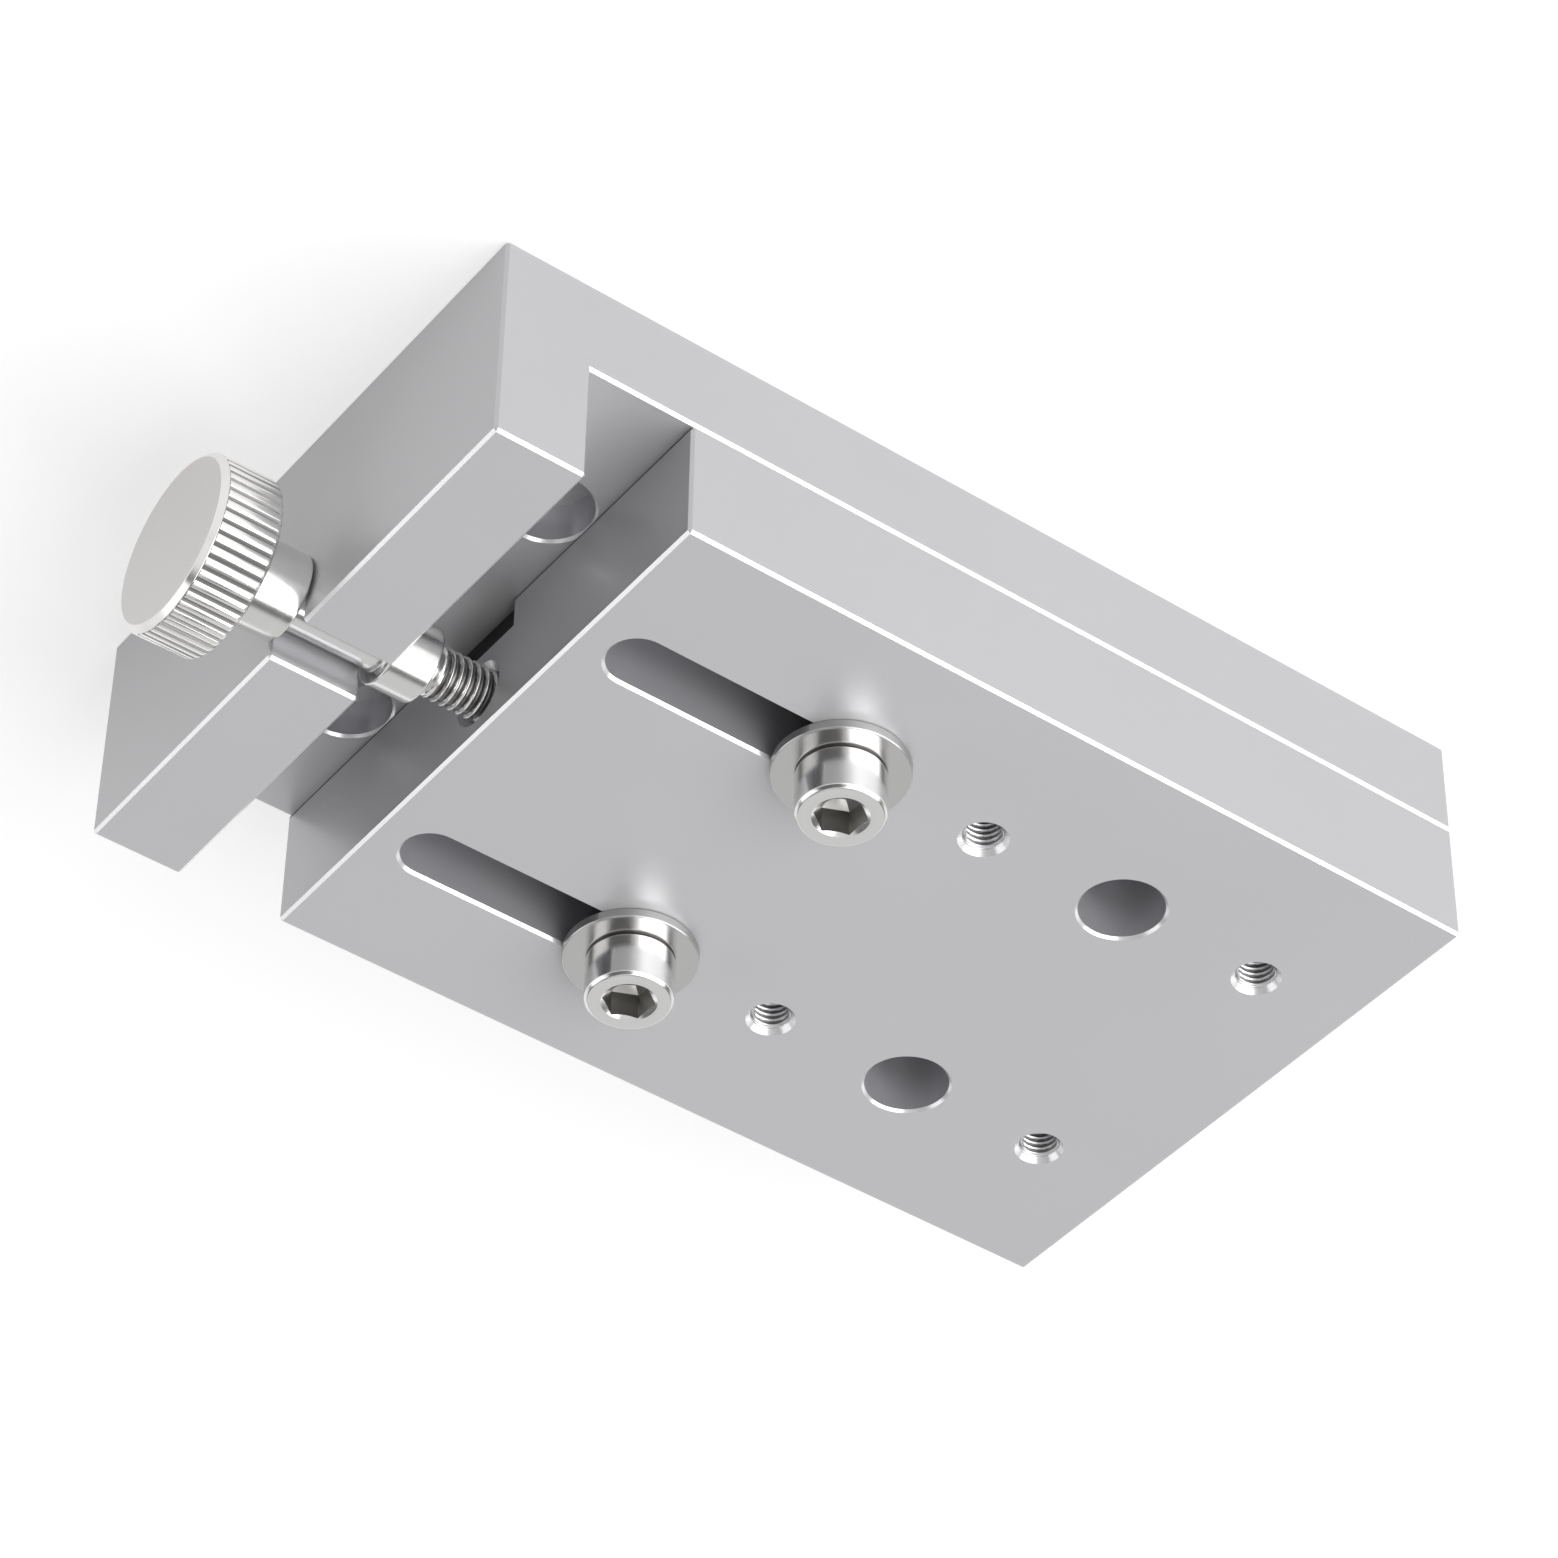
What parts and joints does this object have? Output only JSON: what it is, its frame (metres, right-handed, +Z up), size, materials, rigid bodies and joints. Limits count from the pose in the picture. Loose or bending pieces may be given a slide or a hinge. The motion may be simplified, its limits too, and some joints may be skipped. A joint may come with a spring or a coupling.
{
  "type": "manual linear stage",
  "caption": "Hand-driven linear stage: slotted table sliding on an L-shaped base, moved by a knurled feed screw in the base's leg and held by clamp screws.",
  "frame": {"origin": "centre of the base's four mounting holes, on the base's underside", "axes": "+X along the table's travel, away from the knob; +Z up through the table; +Y across, to the left seen from the knob"},
  "size_m": [0.093, 0.05, 0.0226],
  "materials": {
    "anodised_aluminium": "satin clear anodised",
    "bright_steel": "bright turned stainless steel",
    "black_steel": "black oxide"
  },
  "bodies": {
    "base": {"base_plate": "anodised_aluminium", "guide_key": "black_steel", "guide_key_screw_1": "black_steel", "guide_key_screw_2": "black_steel", "guide_key_screw_3": "black_steel"},
    "drive": {"feed_screw": "bright_steel", "knurled_knob": "bright_steel"},
    "table": {"table_plate": "anodised_aluminium"},
    "washer_left": {"clamp_washer_left": "bright_steel"},
    "clamp_left": {"clamp_screw_left": "bright_steel"},
    "washer_right": {"clamp_washer_right": "bright_steel"},
    "clamp_right": {"clamp_screw_right": "bright_steel"}
  },
  "joints": [
    {"name": "table_slide", "type": "slide", "parent": "base", "child": "table", "axis": [1, 0, 0], "range_m": [-0.00075, 0.01725]},
    {"name": "knob_turn", "type": "hinge", "parent": "base", "child": "drive", "pos_m": [-0.0375, 0, 0.01425], "axis": [-1, 0, 0], "range_deg": [-385.8, 8871.5]},
    {"name": "clamp_left_lift", "type": "slide", "parent": "base", "child": "washer_left", "axis": [0, 0, 1], "range_m": [0, 0.00035]},
    {"name": "clamp_left_turn", "type": "hinge", "parent": "washer_left", "child": "clamp_left", "pos_m": [0, 0.0125, 0.018], "axis": [0, 0, 1], "range_deg": [0, 180]},
    {"name": "clamp_right_lift", "type": "slide", "parent": "base", "child": "washer_right", "axis": [0, 0, 1], "range_m": [0, 0.00035]},
    {"name": "clamp_right_turn", "type": "hinge", "parent": "washer_right", "child": "clamp_right", "pos_m": [0, -0.0125, 0.018], "axis": [0, 0, 1], "range_deg": [0, 180]}
  ],
  "couplings": [
    {"joint": "knob_turn", "follows": "table_slide", "rad_per_m": 8976},
    {"joint": "clamp_left_turn", "follows": "clamp_left_lift", "rad_per_m": 8976},
    {"joint": "clamp_right_turn", "follows": "clamp_right_lift", "rad_per_m": 8976}
  ]
}
